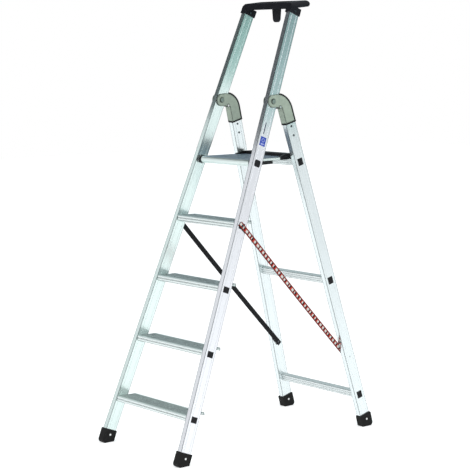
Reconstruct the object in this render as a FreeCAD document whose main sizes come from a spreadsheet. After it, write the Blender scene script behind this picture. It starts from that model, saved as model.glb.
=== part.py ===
import FreeCAD, Part
import math
import os
import Sketcher
from FreeCAD import Placement, Rotation, Vector

# Platform stepladder with a folding rear frame: millimetres, +Z up, front towards -Y, feet on Z = 0.
# Everything in the front frame is built upright, with Y across the depth of a stile and Z along it,
# and then leaned back as a whole.  The rear frame is built the same way and leaned forward.

AXIS_X = Vector(1, 0, 0)
AXIS_Y = Vector(0, 1, 0)
SIDES = {"left": -1, "right": 1}

doc = FreeCAD.newDocument("PlatformStepladder")

DRIVING = [
    # frames
    ("front_lean", 21.5), ("rear_lean", 15.5), ("splay", 3.45), ("floor_width", 545),
    ("stile_depth", 51), ("stile_thick", 23), ("bar_wall", 1.8), ("stile_length", 1948),
    ("leg_depth", 53), ("leg_thick", 22.5), ("bar_end", 14),
    ("groove_width", 3), ("groove_deep", 0.5), ("groove_place", 13), ("fit_gap", 0.2),
    # hinge between the frames
    ("pivot_height", 1534), ("pivot_setback", 65), ("pin_dia", 10), ("pin_head_dia", 17),
    ("pin_head_high", 3), ("bush_wall", 3), ("run_gap", 0.05), ("boss_radius", 26.5),
    ("seat_radius", 11), ("seat_proud", 1.2), ("cheek", 3.5), ("fork_side", 1.5), ("fork_play", 1.8),
    ("bush_play", 1.2), ("arm_radius", 78), ("arm_top", 24),
    ("arm_bottom", 109), ("arm_inset", 6), ("web", 4), ("stop_gap", 1.2), ("stop_dia", 5),
    ("stop_place", 34), ("lug_radius", 6.5), ("cover_thick", 6), ("tongue_length", 70),
    ("rivet_dia", 5), ("rivet_head_dia", 9), ("rivet_head_high", 1.5), ("rivet_first", 13),
    ("rivet_pitch", 40),
    # treads
    ("tread_first", 177), ("tread_rise", 250), ("tread_depth", 95), ("tread_front", 22),
    ("tread_top", 16.5), ("tread_skin", 3), ("tread_nose_high", 21), ("tread_lip_high", 13),
    ("tread_gap", 0.6), ("rib_pitch", 7.5), ("rib_groove", 3), ("rib_deep", 0.9), ("rib_start", 14),
    ("tube_deep", 26), ("tube_high", 23), ("tube_wall", 2), ("slot_gap", 0.3),
    ("plug_rim", 1), ("plug_proud", 1.6), ("plug_insert", 15),
    ("plug_gap", 1.2),
    # platform
    ("axle_dia", 20), ("axle_plug", 29), ("axle_plug_corner", 7), ("nose_radius", 15),
    ("deck_top", 15), ("deck_thick", 12), ("deck_front_half", 158), ("deck_rear_half", 147),
    ("cap_length", 10), ("cap_proud", 2), ("cap_arm_length", 122), ("cap_arm_high", 13),
    ("cap_arm_width", 14), ("rail_high", 12), ("rail_side", 14), ("rail_block", 71),
    ("rail_hook_drop", 10), ("rail_wall", 5), ("rail_gap", 0.8),
    ("support_drop", 5.2),
    # rear rungs
    ("rung_first", 150), ("rung_deep", 22), ("rung_high", 28),
    # feet
    ("foot_high", 56), ("foot_wall", 4), ("foot_width", 33), ("toe_radius", 14),
    ("foot_rivet", 34),
    # tray with hand grip
    ("tray_rise", 16), ("tray_tilt", 6), ("tray_thick", 27), ("tray_front", 32), ("tray_rear", 71),
    ("tray_half", 160), ("tray_corner", 20), ("tray_recess", 14), ("tray_recess_half", 112),
    ("tray_rim", 14), ("socket_deep", 25), ("socket_wall", 3), ("socket_face", 4.5), ("socket_rivet", 12),
    ("hook_width", 54), ("hook_tip_width", 40), ("hook_drop", 64), ("hook_thick", 7),
    ("hook_setback", 25),
    # straps and label
    ("strap_width", 22), ("strap_thick", 1.5), ("strap_end", 16), ("strap_low", 329),
    ("strap_gap", 1), ("strap_rear_gap", 4), ("strap_hole_play", 1.7), ("strap_grip", 9),
    ("label_low", 1343), ("label_high", 38),
    ("label_width", 30), ("label_thick", 0.4), ("line_low", 1393), ("line_high", 48),
    ("line_width", 4), ("line_place", 6),
]

sizes = doc.addObject("Spreadsheet::Sheet", "Sizes")
for row, (alias, number) in enumerate(DRIVING, start=1):
    sizes.set("A%d" % row, alias)
    sizes.set("B%d" % row, str(number))
    sizes.setAlias("B%d" % row, alias)
doc.recompute()


def value(expression):
    """The number that an expression on the sheet gives."""
    result = sizes.evalExpression(expression)
    return float(getattr(result, "Value", result))


# Places worked out from the driving sizes, kept in a second sheet.
DERIVED = [
    ("pivot_y", "Sizes.pivot_height * sin(Sizes.front_lean)"),
    ("pivot_z", "Sizes.pivot_height * cos(Sizes.front_lean)"),
    ("leg_pivot", "(Derived.pivot_z + Sizes.pivot_setback * sin(Sizes.rear_lean)) / cos(Sizes.rear_lean)"),
    ("rear_y", "Derived.pivot_y + Sizes.pivot_setback * cos(Sizes.rear_lean)"
               " + Derived.leg_pivot * sin(Sizes.rear_lean)"),
    ("fold", "Sizes.front_lean + Sizes.rear_lean"),
    ("toe_front", "-(Sizes.stile_depth / 2 + Sizes.foot_wall) / cos(Sizes.front_lean)"
                  " + Sizes.toe_radius * ((1 + sin(Sizes.front_lean)) / cos(Sizes.front_lean) - 1)"),
    ("toe_rear", "Derived.rear_y + (Sizes.leg_depth / 2 + Sizes.foot_wall) / cos(Sizes.rear_lean)"
                 " - Sizes.toe_radius * ((1 + sin(Sizes.rear_lean)) / cos(Sizes.rear_lean) - 1)"),
    ("middle_y", "(Derived.toe_front + Derived.toe_rear) / 2"),
    ("axle_z", "Sizes.tread_first + 4 * Sizes.tread_rise"),
    ("axle_y", "Derived.axle_z * tan(Sizes.front_lean)"),
    ("rung_top", "(Derived.axle_z - Sizes.support_drop) / cos(Sizes.rear_lean)"),
    ("rest_y", "Derived.rear_y - Derived.rung_top * sin(Sizes.rear_lean) - Derived.axle_y"),
    ("rest_half_y", "Sizes.rung_deep / 2 * cos(Sizes.rear_lean) + Sizes.rung_high / 2 * sin(Sizes.rear_lean)"),
    ("rest_top", "Sizes.rung_deep / 2 * sin(Sizes.rear_lean) + Sizes.rung_high / 2 * cos(Sizes.rear_lean)"
                 " - Sizes.support_drop"),
    ("deck_length", "Derived.rest_y - Derived.rest_half_y - Sizes.rail_wall * 2"),
    ("rail_end", "Derived.rest_y + Derived.rest_half_y + Sizes.rail_wall * 2"),
    ("tray_middle", "Sizes.stile_length * cos(Sizes.splay) * cos(Sizes.front_lean) + Sizes.tray_rise"),
    ("tray_y", "Derived.tray_middle * tan(Sizes.front_lean)"),
    ("socket_low", "Sizes.stile_length - Sizes.socket_deep"),
    ("stile_mid", "(Sizes.floor_width - Sizes.stile_thick / cos(Sizes.splay)) / 2"),
    ("stile_inner", "Derived.stile_mid - Sizes.stile_thick / 2 / cos(Sizes.splay)"),
    ("stile_outer", "Sizes.floor_width / 2"),
    ("leg_mid", "Derived.stile_mid - (Sizes.pivot_height - Derived.leg_pivot) * tan(Sizes.splay)"),
    ("leg_inner", "Derived.leg_mid - Sizes.leg_thick / 2 / cos(Sizes.splay)"),
    ("leg_outer", "Derived.leg_mid + Sizes.leg_thick / 2 / cos(Sizes.splay)"),
    ("leg_top", "Derived.leg_pivot / cos(Sizes.splay) - Sizes.arm_bottom - Sizes.cover_thick"),
    ("hinge_x", "Derived.leg_mid - Derived.leg_pivot * tan(Sizes.splay)"),
    ("fork_gap", "Sizes.stile_thick + 2 * Sizes.fork_side"),
    ("bush_radius", "Sizes.pin_dia / 2 + Sizes.run_gap + Sizes.bush_wall"),
    ("arm_front", "Sizes.pivot_setback - Sizes.leg_depth / 2"),
    ("arm_rear", "Sizes.pivot_setback + Sizes.leg_depth / 2 - Sizes.arm_inset"),
    ("strap_high", "(Sizes.tread_first + 3 * Sizes.tread_rise) / cos(Sizes.front_lean)"),
    ("strap_y1", "Derived.strap_high * sin(Sizes.front_lean)"),
    ("strap_z1", "Derived.strap_high * cos(Sizes.front_lean)"),
    ("strap_x1", "Derived.stile_outer - Derived.strap_high * tan(Sizes.splay) + Sizes.plug_proud"
                 " + Sizes.strap_gap + Sizes.strap_thick / 2"),
    ("strap_y2", "Derived.rear_y - Sizes.strap_low * sin(Sizes.rear_lean)"),
    ("strap_z2", "Sizes.strap_low * cos(Sizes.rear_lean)"),
    ("strap_x2", "Derived.leg_inner - Sizes.strap_low * tan(Sizes.splay) - Sizes.strap_rear_gap"
                 " - Sizes.strap_thick / 2"),
    ("strap_run", "sqrt((Derived.strap_y2 - Derived.strap_y1)^2 + (Derived.strap_z1 - Derived.strap_z2)^2)"),
]
derived = doc.addObject("Spreadsheet::Sheet", "Derived")
for row, (alias, formula) in enumerate(DERIVED, start=1):
    derived.set("A%d" % row, alias)
    derived.set("B%d" % row, "=" + formula.replace("Derived.", ""))
    derived.setAlias("B%d" % row, alias)
    doc.recompute()


# ---------------------------------------------------------------- shared builders

def bind(thing, settings):
    """Ties properties of a document object to expressions on the sheets."""
    for name, expression in settings.items():
        thing.setExpression(name, expression)
    return thing


def block(name, centre, size):
    """A box centred on three expressions, with three expressions for its size."""
    box = doc.addObject("Part::Box", name)
    for axis, edge, middle, extent in zip("xyz", ("Length", "Width", "Height"), centre, size):
        bind(box, {edge: extent, "Placement.Base." + axis: "(%s) - (%s) / 2" % (middle, extent)})
    return box


def rod(name, centre, radius, length):
    """A cylinder along X, centred on three expressions."""
    cylinder = doc.addObject("Part::Cylinder", name)
    cylinder.Placement = Placement(Vector(), Rotation(AXIS_Y, 90))
    bind(cylinder, {"Radius": radius, "Height": length,
                    "Placement.Base.x": "(%s) - (%s) / 2" % (centre[0], length),
                    "Placement.Base.y": centre[1], "Placement.Base.z": centre[2]})
    return cylinder


def joined(name, pieces):
    fusion = doc.addObject("Part::MultiFuse", name)
    fusion.Shapes = pieces
    fusion.Refine = True
    return fusion


def cut(name, base, tools):
    """The base with every tool taken away."""
    result = doc.addObject("Part::Cut", name)
    result.Base = base
    result.Tool = tools[0] if len(tools) == 1 else joined(name + "_tools", tools)
    return result


def common(name, first, second):
    result = doc.addObject("Part::MultiCommon", name)
    result.Shapes = [first, second]
    return result


def group(name, pieces):
    compound = doc.addObject("Part::Compound", name)
    compound.Links = pieces
    return compound


def corner_lines(corners):
    """Start and end of each straight edge of an outline, between its rounded corners."""
    points = [Vector(value(x), value(y), 0) for x, y, _ in corners]
    trims = []
    for index, point in enumerate(points):
        before = (points[index - 1] - point).normalize()
        after = (points[(index + 1) % len(points)] - point).normalize()
        radius = value(corners[index][2]) if corners[index][2] else 0
        reach = radius / math.tan(before.getAngle(after) / 2)
        trims.append((point + before * reach, point + after * reach))
    return [(trims[i][1], trims[(i + 1) % len(trims)][0]) for i in range(len(trims))]


def round_between(start, corner, end):
    """Arc that is tangent to both edges of a corner where they stop."""
    radius_point = start.distanceToPoint(corner)
    middle = (start + end) / 2 - corner
    inward = middle.Length
    half_chord = start.distanceToPoint(end) / 2
    radius = radius_point * half_chord / inward
    centre = corner + middle / inward * math.hypot(radius, radius_point)
    top = centre + (corner - centre).normalize() * radius
    return Part.Arc(start, top, end)


def draw_outline(sketch, corners):
    """A closed outline: each corner has two expressions for its place and one, or None, for its radius."""
    lines = corner_lines(corners)
    rules = []
    formulas = []
    for start, end in lines:
        sketch.addGeometry(Part.LineSegment(start, end), False)
    for index, (x, y, radius) in enumerate(corners):
        before = (index - 1) % len(lines)
        if radius is None:
            rules.append(Sketcher.Constraint("Coincident", before, 2, index, 1))
            marked = (index, 1)
        else:
            corner = Vector(value(x), value(y), 0)
            arc = round_between(lines[before][1], corner, lines[index][0])
            curve = sketch.addGeometry(arc, False)
            mark = sketch.addGeometry(Part.Point(corner), True)
            first_end = 1 if arc.StartPoint.distanceToPoint(lines[before][1]) < 1e-6 else 2
            rules.append(Sketcher.Constraint("Tangent", before, 2, curve, first_end))
            rules.append(Sketcher.Constraint("Tangent", index, 1, curve, 3 - first_end))
            rules.append(Sketcher.Constraint("PointOnObject", mark, 1, before))
            rules.append(Sketcher.Constraint("PointOnObject", mark, 1, index))
            formulas.append((len(rules), radius))
            rules.append(Sketcher.Constraint("Radius", curve, value(radius)))
            marked = (mark, 1)
        for kind, expression in (("DistanceX", x), ("DistanceY", y)):
            formulas.append((len(rules), expression))
            rules.append(Sketcher.Constraint(kind, -1, 1, *marked, value(expression)))
    sketch.addConstraint(rules)
    for index, expression in formulas:
        sketch.setExpression("Constraints[%d]" % index, expression)


def prism(name, plane, corners, length, both_ways=True):
    """A PartDesign body: an outline on one of the body's own planes, padded to a length."""
    body = doc.addObject("PartDesign::Body", name)
    sketch = body.newObject("Sketcher::SketchObject", name + "_outline")
    support = next(item for item in body.Origin.OriginFeatures if item.Role == plane)
    sketch.AttachmentSupport = [(support, "")]
    sketch.MapMode = "FlatFace"
    draw_outline(sketch, corners)
    pad = body.newObject("PartDesign::Pad", name + "_pad")
    pad.Profile = sketch
    pad.SideType = "Symmetric" if both_ways else "One side"
    pad.setExpression("Length", length)
    sketch.Visibility = False
    return body


def rectangle(width, height, x="0", y="0", radius=None):
    """Corners of a rectangle centred on x, y."""
    signs = ((-1, -1), (1, -1), (1, 1), (-1, 1))
    return [("(%s) + %g * (%s) / 2" % (x, i, width), "(%s) + %g * (%s) / 2" % (y, j, height), radius)
            for i, j in signs]


def splayed(thing, side, x, y="0", z="0"):
    """Leans a piece inwards, as the stiles and legs do, from a place on one side of the frame."""
    thing.Placement = Placement(Vector(), Rotation(AXIS_Y, -side))
    return bind(thing, {"Placement.Base.x": "%d * (%s)" % (side, x), "Placement.Base.y": y,
                        "Placement.Base.z": z, "Placement.Rotation.Angle": "%d * Sizes.splay" % -side})


def leaned_back(thing):
    """Turns a piece that was built upright to the lean of the front frame."""
    thing.Placement = Placement(Vector(), Rotation(AXIS_X, -1))
    return bind(thing, {"Placement.Rotation.Angle": "-Sizes.front_lean"})


def in_front_frame(thing):
    """Puts a piece that was built upright into the front frame."""
    return bind(leaned_back(thing), {"Placement.Base.y": "-Derived.middle_y"})


def in_rear_frame(thing):
    """Puts a piece that was built upright into the rear frame, which leans forward."""
    thing.Placement = Placement(Vector(), Rotation(AXIS_X, 1))
    return bind(thing, {"Placement.Rotation.Angle": "Sizes.rear_lean",
                        "Placement.Base.y": "Derived.rear_y - Derived.middle_y"})


def set_down(thing, y, z):
    """Moves a piece built about its own centre to its place in the part, without turning it."""
    return bind(thing, {"Placement.Base.y": "(%s) - Derived.middle_y" % y, "Placement.Base.z": z})


def wedge(name, half_width, top="Sizes.stile_length", depth="400"):
    """The space between two splayed planes, this far from the middle at the floor."""
    body = prism(name, "XZ_Plane",
                 [("-(%s)" % half_width, "0", None), (half_width, "0", None),
                  ("(%s) - (%s) * tan(Sizes.splay)" % (half_width, top), top, None),
                  ("(%s) * tan(Sizes.splay) - (%s)" % (top, half_width), top, None)], depth)
    return body


TREADS = range(4)
RUNGS = range(3)
LEG_RIVETS = range(2)


def along_stile(number):
    """Distance up the stile of a tread's tube, or of the platform's axle as number 4."""
    return "(Sizes.tread_first + %d * Sizes.tread_rise) / cos(Sizes.front_lean)" % number


def along_leg(number):
    """Distance up the leg of a rung; the last one carries the platform."""
    return "Sizes.rung_first + %d * (Derived.rung_top - Sizes.rung_first) / 2" % number


def leg_rivet(number):
    """Distance up the leg of a rivet through the tongue of its casting."""
    return "Derived.leg_top - Sizes.rivet_first - %d * Sizes.rivet_pitch" % number


def across(name, side, middle, height):
    """A rivet hole square through a splayed bar."""
    hole = rod(name + "_bore", ("0", "0", height), "Sizes.rivet_dia / 2 + Sizes.run_gap", "120")
    return splayed(group(name, [hole]), side, middle)


def rivet(name, centre, grip, shank="Sizes.rivet_dia / 2", head="Sizes.rivet_head_dia / 2",
          head_high="Sizes.rivet_head_high"):
    """A pin along X with a flat head at each end of its grip."""
    pieces = [rod(name + "_shank", centre, shank, grip)]
    for end in (-1, 1):
        place = "(%s) + %d * ((%s) + (%s)) / 2" % (centre[0], end, grip, head_high)
        pieces.append(rod("%s_head_%d" % (name, end + 1), (place, centre[1], centre[2]), head, head_high))
    return joined(name, pieces)


# ---------------------------------------------------------------- stiles and legs

def hollow_bar(name, thick, depth, start, end):
    """A box section with two shallow grooves down each outer and inner face, upright on the floor."""
    middle = "((%s) + (%s)) / 2" % (start, end)
    length = "(%s) - (%s)" % (end, start)
    outer = block(name + "_outer", ("0", "0", middle), (thick, depth, length))
    wall = "2 * Sizes.bar_wall"
    inner = block(name + "_inner", ("0", "0", middle),
                  ("%s - %s" % (thick, wall), "%s - %s" % (depth, wall), "%s + 2" % length))
    tools = [inner]
    for face in (-1, 1):
        for line in (-1, 1):
            place = ("%d * %s / 2" % (face, thick), "%d * Sizes.groove_place" % line, middle)
            tools.append(block("%s_groove_%d%d" % (name, face + 1, line + 1), place,
                               ("2 * Sizes.groove_deep", "Sizes.groove_width", "%s + 2" % length)))
    return cut(name + "_section", outer, tools)


def stile(side_name):
    side = SIDES[side_name]
    name = "stile_" + side_name
    bar = hollow_bar(name, "Sizes.stile_thick", "Sizes.stile_depth", "Sizes.bar_end",
                     "Sizes.stile_length")
    splayed(bar, side, "Derived.stile_mid")
    tools = []
    for number in TREADS:
        tools.append(block("%s_slot_%d" % (name, number), ("%d * Derived.stile_mid" % side, "0",
                                                            along_stile(number)),
                           ("300", "Sizes.tube_deep + 2 * Sizes.slot_gap",
                            "Sizes.tube_high + 2 * Sizes.slot_gap")))
    tools.append(rod(name + "_axle_hole", ("%d * Derived.stile_mid" % side, "0", along_stile(4)),
                     "Sizes.axle_dia / 2 + Sizes.slot_gap", "300"))
    tools.append(rod(name + "_bush_hole", ("%d * Derived.stile_mid" % side, "0", "Sizes.pivot_height"),
                     "Derived.bush_radius + Sizes.run_gap", "300"))
    tools.append(rod(name + "_foot_hole", ("%d * Derived.stile_mid" % side, "0", "Sizes.foot_rivet"),
                     "Sizes.rivet_dia / 2 + Sizes.run_gap", "300"))
    tools.append(across(name + "_tray_hole", side, "Derived.stile_mid", "Derived.socket_low + Sizes.socket_rivet"))
    return in_front_frame(cut(name, bar, tools))


def leg(side_name):
    side = SIDES[side_name]
    name = "rear_leg_" + side_name
    bar = hollow_bar(name, "Sizes.leg_thick", "Sizes.leg_depth", "Sizes.bar_end", "Derived.leg_top")
    splayed(bar, side, "Derived.leg_mid")
    tools = []
    for number in RUNGS:
        tools.append(block("%s_slot_%d" % (name, number), ("%d * Derived.leg_mid" % side, "0",
                                                            along_leg(number)),
                           ("300", "Sizes.rung_deep + 2 * Sizes.slot_gap",
                            "Sizes.rung_high + 2 * Sizes.slot_gap")))
    for number in LEG_RIVETS:
        tools.append(across("%s_rivet_hole_%d" % (name, number), side, "Derived.leg_mid", leg_rivet(number)))
    tools.append(across(name + "_strap_hole", side, "Derived.leg_mid", "Sizes.strap_low"))
    tools.append(rod(name + "_foot_hole", ("%d * Derived.leg_mid" % side, "0", "Sizes.foot_rivet"),
                     "Sizes.rivet_dia / 2 + Sizes.run_gap", "300"))
    return in_rear_frame(cut(name, bar, tools))


def box_tube(name, height, deep, high):
    """A hollow tube along X at a height up the upright frame."""
    outer = block(name + "_outer", ("0", "0", height), ("Sizes.floor_width", deep, high))
    inner = block(name + "_inner", ("0", "0", height),
                  ("Sizes.floor_width + 2", "%s - 2 * Sizes.tube_wall" % deep,
                   "%s - 2 * Sizes.tube_wall" % high))
    return cut(name, outer, [inner])


def end_plugs(name, count, height_of, outer, deep, high):
    """A black plug in each end of each tube: a flange on the outer face and a stub in the tube."""
    plugs = []
    for number in range(count):
        for side in SIDES.values():
            label = "%s_%d_%d" % (name, number, side + 1)
            flange = block(label + "_flange", ("%d * Sizes.plug_proud / 2" % side, "0", "0"),
                           ("Sizes.plug_proud", "%s + 2 * Sizes.plug_rim" % deep,
                            "%s + 2 * Sizes.plug_rim" % high))
            stub = block(label + "_stub", ("%d * (Sizes.plug_proud - Sizes.plug_insert) / 2" % side,
                                           "0", "0"),
                         ("Sizes.plug_insert + Sizes.plug_proud",
                          "%s - 2 * (Sizes.tube_wall + Sizes.plug_gap)" % deep,
                          "%s - 2 * (Sizes.tube_wall + Sizes.plug_gap)" % high))
            height = height_of(number)
            outward = "%s - (%s) * tan(Sizes.splay)" % (outer, height)
            plugs.append(splayed(joined(label, [flange, stub]), side, outward, z=height))
    return group(name, plugs)


# ---------------------------------------------------------------- treads

def tread(number):
    """Ribbed deck with a square nose, on a tube that passes through both stiles."""
    name = "tread_%d" % (number + 1)
    front = "-Sizes.tread_front"
    rear = "Sizes.tread_depth - Sizes.tread_front"
    top = "Sizes.tread_top"
    skin = "Sizes.tread_skin"
    nose_low = "%s - Sizes.tread_nose_high" % top
    lip_low = "%s - Sizes.tread_lip_high" % top
    under = "%s - %s" % (top, skin)
    outline = [(front, nose_low, None), ("%s + %s" % (front, skin), nose_low, None),
               ("%s + %s" % (front, skin), under, None), ("%s - %s" % (rear, skin), under, None),
               ("%s - %s" % (rear, skin), lip_low, None), (rear, lip_low, None),
               (rear, top, "Sizes.tread_skin * 0.8"), (front, top, "Sizes.tread_skin * 1.3")]
    deck = prism(name + "_profile", "YZ_Plane", outline, "Sizes.floor_width")
    groove_count = 10
    grooves = []
    for index in range(groove_count):
        place = "%s + Sizes.rib_start + %d * Sizes.rib_pitch" % (front, index)
        grooves.append(block("%s_groove_%d" % (name, index), ("0", place, top),
                             ("Sizes.floor_width + 2", "Sizes.rib_groove", "2 * Sizes.rib_deep")))
    nose_groove = block(name + "_nose_groove", ("0", front, "%s - Sizes.tread_nose_high / 2" % top),
                        ("Sizes.floor_width + 2", "2 * Sizes.rib_deep", "Sizes.rib_groove"))
    grooved = cut(name + "_ribbed", deck, grooves + [nose_groove])
    height = "Sizes.tread_first + %d * Sizes.tread_rise" % number
    bind(grooved, {"Placement.Base.y": "(%s) * tan(Sizes.front_lean)" % height,
                   "Placement.Base.z": height})
    between = leaned_back(wedge(name + "_between", "Derived.stile_inner - Sizes.tread_gap"))
    decking = common(name + "_decking", grooved, between)
    tube = box_tube(name + "_tube", along_stile(number), "Sizes.tube_deep", "Sizes.tube_high")
    ends = leaned_back(common(name + "_ends", tube, wedge(name + "_through", "Derived.stile_outer")))
    return bind(joined(name, [decking, ends]), {"Placement.Base.y": "-Derived.middle_y"})


# ---------------------------------------------------------------- rear rungs

def rung(number, name):
    """Box tube through both rear legs, with grooves along its front and rear faces."""
    height = along_leg(number)
    tube = box_tube(name + "_tube", height, "Sizes.rung_deep", "Sizes.rung_high")
    grooves = [block("%s_groove_%d" % (name, index),
                     ("0", "%d * Sizes.rung_deep / 2" % face,
                      "%s + %d * Sizes.rung_high / 6" % (height, level)),
                     ("Sizes.floor_width + 2", "2 * Sizes.groove_deep", "Sizes.groove_width"))
               for index, (face, level) in enumerate(((-1, -1), (-1, 1), (1, -1), (1, 1)))]
    grooved = cut(name + "_grooved", tube, grooves)
    return in_rear_frame(common(name, grooved, wedge(name + "_through", "Derived.leg_outer")))


# ---------------------------------------------------------------- feet

def foot(name, side, rear):
    """Moulded shoe: level sole, rounded toe on the outside of the ladder, pocket for the bar."""
    lean = "Sizes.rear_lean" if rear else "Sizes.front_lean"
    depth = "Sizes.leg_depth" if rear else "Sizes.stile_depth"
    thick = "Sizes.leg_thick" if rear else "Sizes.stile_thick"
    middle = "Derived.leg_mid" if rear else "Derived.stile_mid"
    way = -1 if rear else 1
    half = "(%s / 2 + Sizes.foot_wall)" % depth
    corners = []
    for edge, height in ((-1, "0"), (1, "0"), (1, "Sizes.foot_high"), (-1, "Sizes.foot_high")):
        if height == "0":
            y = "%d * %s / cos(%s)" % (edge, half, lean)
            radius = "Sizes.toe_radius" if edge == -way else "Sizes.foot_wall"
            corners.append((y, "0", radius))
        else:
            y = "%d * %s * sin(%s) + %d * %s * cos(%s)" % (way, height, lean, edge, half, lean)
            z = "%s * cos(%s) - %d * %s * sin(%s)" % (height, lean, way * edge, half, lean)
            corners.append((y, z, "Sizes.foot_wall / 2"))
    shoe = prism(name + "_shoe", "YZ_Plane", corners, "Sizes.foot_width")
    bind(shoe, {"Placement.Base.x": "%d * (%s - Sizes.foot_high / 2 * tan(Sizes.splay))"
                                    % (side, middle)})
    pocket = block(name + "_pocket_bar", ("0", "0", "Sizes.foot_high"),
                   ("%s + 2 * Sizes.fit_gap" % thick, "%s + 2 * Sizes.fit_gap" % depth,
                    "2 * (Sizes.foot_high - Sizes.bar_end)"))
    hole = rod(name + "_rivet_hole", ("%d * %s" % (side, middle), "0", "Sizes.foot_rivet"),
               "Sizes.rivet_dia / 2 + Sizes.run_gap", "120")
    tilted = group(name + "_pocket", [splayed(group(name + "_pocket_set", [pocket]), side, middle), hole])
    tilted.Placement = Placement(Vector(), Rotation(AXIS_X, -way))
    bind(tilted, {"Placement.Rotation.Angle": "%d * %s" % (-way, lean)})
    base = "Derived.rear_y - Derived.middle_y" if rear else "-Derived.middle_y"
    return bind(cut(name, shoe, [tilted]), {"Placement.Base.y": base})


def foot_rivets(name, rear):
    middle = "Derived.leg_mid" if rear else "Derived.stile_mid"
    pins = [rivet("%s_%s" % (name, side_name),
                  ("%d * (%s - Sizes.foot_high / 2 * tan(Sizes.splay))" % (side, middle), "0",
                   "Sizes.foot_rivet"), "Sizes.foot_width") for side_name, side in SIDES.items()]
    return (in_rear_frame if rear else in_front_frame)(group(name, pins))


# ---------------------------------------------------------------- hinges

# Outlines of the hinge are drawn about the pivot, Y to the rear and Z up the leg.

def slot_outline(play, reach="90"):
    """Room for the stile between its open and folded places, this far clear of its faces."""
    half = "(Sizes.stile_depth / 2 + %s)" % play
    far_y = "%s * cos(Derived.fold) + %s * sin(Derived.fold)" % (half, reach)
    far_z = "%s * cos(Derived.fold) - %s * sin(Derived.fold)" % (reach, half)
    return [("-90", "-150", None), (half, "-150", None),
            (half, "-%s * tan(Derived.fold / 2)" % half, None), (far_y, far_z, None),
            ("-90", far_z, None)]


def at_hinge(thing, side):
    return splayed(thing, side, "Derived.hinge_x", "-Sizes.pivot_setback", "Derived.leg_pivot")


def hinge_centre(side):
    return ("%d * Derived.hinge_x" % side, "-Sizes.pivot_setback", "Derived.leg_pivot")


def round_backed(name, thing, extra):
    """Rounds off the high rear corner of a hinge outline, drawn this much outside the casting."""
    centre_y = "(Derived.arm_rear - Sizes.arm_radius)"
    centre_z = "(Sizes.arm_top - Sizes.arm_radius)"
    radius = "(Sizes.arm_radius + %s)" % extra
    side = "(%s + 5)" % radius
    corner = block(name + "_corner", ("0", "%s + %s / 2" % (centre_y, side), "%s + %s / 2" % (centre_z, side)),
                   ("300", side, side))
    disc = rod(name + "_disc", ("0", centre_y, centre_z), radius, "302")
    return cut(name, thing, [cut(name + "_waste", corner, [disc])])


STOP_Y = "Sizes.stile_depth / 2 + Sizes.stop_gap + Sizes.stop_dia / 2"
HINGE_WIDTH = "Derived.fork_gap + 2 * Sizes.cheek"
SEAT_WIDTH = "Derived.fork_gap + 2 * Sizes.cheek + 2 * Sizes.seat_proud"


def hinge_casting(side_name):
    """Forked casting: cheeks either side of the stile, an arm over the leg and a tongue down inside it."""
    side = SIDES[side_name]
    name = "hinge_casting_" + side_name
    outline = [("0", "Sizes.arm_top", None), ("Derived.arm_rear", "Sizes.arm_top", None),
               ("Derived.arm_rear", "-Sizes.arm_bottom", None),
               ("Derived.arm_front", "-Sizes.arm_bottom", None),
               ("Derived.arm_front", "-Sizes.stop_place - 6", None), ("0", "-Sizes.stop_place + 8", None)]
    arm = round_backed(name + "_arm", prism(name + "_plate", "YZ_Plane", outline, HINGE_WIDTH), "0")
    boss = rod(name + "_boss", ("0", "0", "0"), "Sizes.boss_radius", HINGE_WIDTH)
    lug = rod(name + "_lug", ("0", STOP_Y, "-Sizes.stop_place"), "Sizes.lug_radius", HINGE_WIDTH)
    tongue_middle = "-Sizes.arm_bottom - Sizes.tongue_length / 2"
    tongue = block(name + "_tongue", ("0", "Sizes.pivot_setback", tongue_middle),
                   ("Sizes.leg_thick - 2 * (Sizes.bar_wall + Sizes.fit_gap)",
                    "Sizes.leg_depth - 2 * (Sizes.bar_wall + Sizes.arm_inset)", "Sizes.tongue_length"))
    body = at_hinge(joined(name + "_body", [arm, boss, lug, tongue]), side)
    seat = rod(name + "_seat", hinge_centre(side), "Sizes.seat_radius", SEAT_WIDTH)
    slot = at_hinge(prism(name + "_slot", "YZ_Plane", slot_outline("Sizes.fork_play"), "Derived.fork_gap"), side)
    web = "(Sizes.stile_depth / 2 + Sizes.fork_play + Sizes.web)"
    near = "(Derived.arm_front + Sizes.web)"
    far = "(Derived.arm_rear + 10)"
    climb = "(%s * cos(Derived.fold) - %s) / sin(Derived.fold)"
    low = "-Sizes.arm_bottom + 2 * Sizes.web"
    hollow = [(near, low, None), (far, low, None), (far, climb % (far, web), None),
              (near, climb % (near, web), None)]
    pocket = prism(name + "_hollow", "YZ_Plane", hollow, "Derived.fork_gap")
    core = block(name + "_core", ("0", "Sizes.pivot_setback", "%s - 2 * Sizes.web" % tongue_middle),
                 ("Sizes.leg_thick - 2 * (Sizes.bar_wall + Sizes.cheek)",
                  "Sizes.leg_depth - 2 * (Sizes.bar_wall + Sizes.arm_inset + Sizes.cheek)",
                  "Sizes.tongue_length"))
    stop = rod(name + "_stop_hole", ("0", STOP_Y, "-Sizes.stop_place"),
               "Sizes.stop_dia / 2 + Sizes.run_gap", "120")
    holes = at_hinge(group(name + "_rooms", [pocket, core, stop]), side)
    bore = rod(name + "_bore", hinge_centre(side), "Sizes.pin_dia / 2 + Sizes.run_gap", "120")
    rivets = [across("%s_rivet_%d" % (name, number), side, "Derived.leg_mid", leg_rivet(number))
              for number in LEG_RIVETS]
    return in_rear_frame(cut(name, joined(name + "_solid", [body, seat]), [slot, holes, bore] + rivets))


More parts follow.
